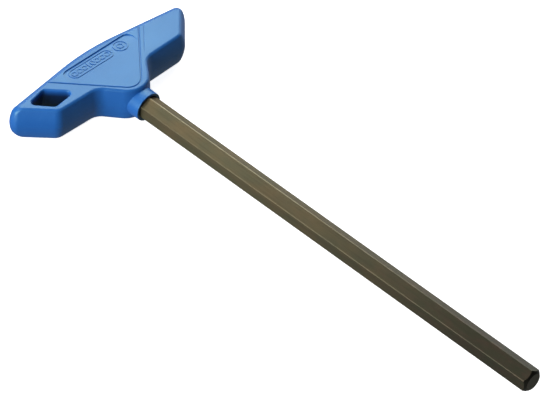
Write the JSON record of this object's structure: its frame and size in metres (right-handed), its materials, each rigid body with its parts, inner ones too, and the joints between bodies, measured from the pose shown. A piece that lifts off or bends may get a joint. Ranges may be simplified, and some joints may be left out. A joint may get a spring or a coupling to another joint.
{
  "type": "hexagon key with t-handle",
  "caption": "Hexagon key: a long 10 mm hexagonal steel blade with a chamfered tip, held in a flat moulded T-handle with a collar and a hanging hole in one arm.",
  "frame": {"origin": "centre of the underside of the bounding box: the tool lies on its back", "axes": "+Y along the blade towards its tip, +X towards the arm with the hanging hole, +Z out of the handle's marked face"},
  "size_m": [0.1064, 0.27, 0.018],
  "materials": {
    "phosphated_steel": "dark brown-black phosphate, lightly oiled, worn bright on the edges",
    "blue_plastic": "satin, fine moulded texture"
  },
  "bodies": {
    "root": {"hex_blade": "phosphated_steel", "t_handle": "blue_plastic"}
  },
  "joints": []
}
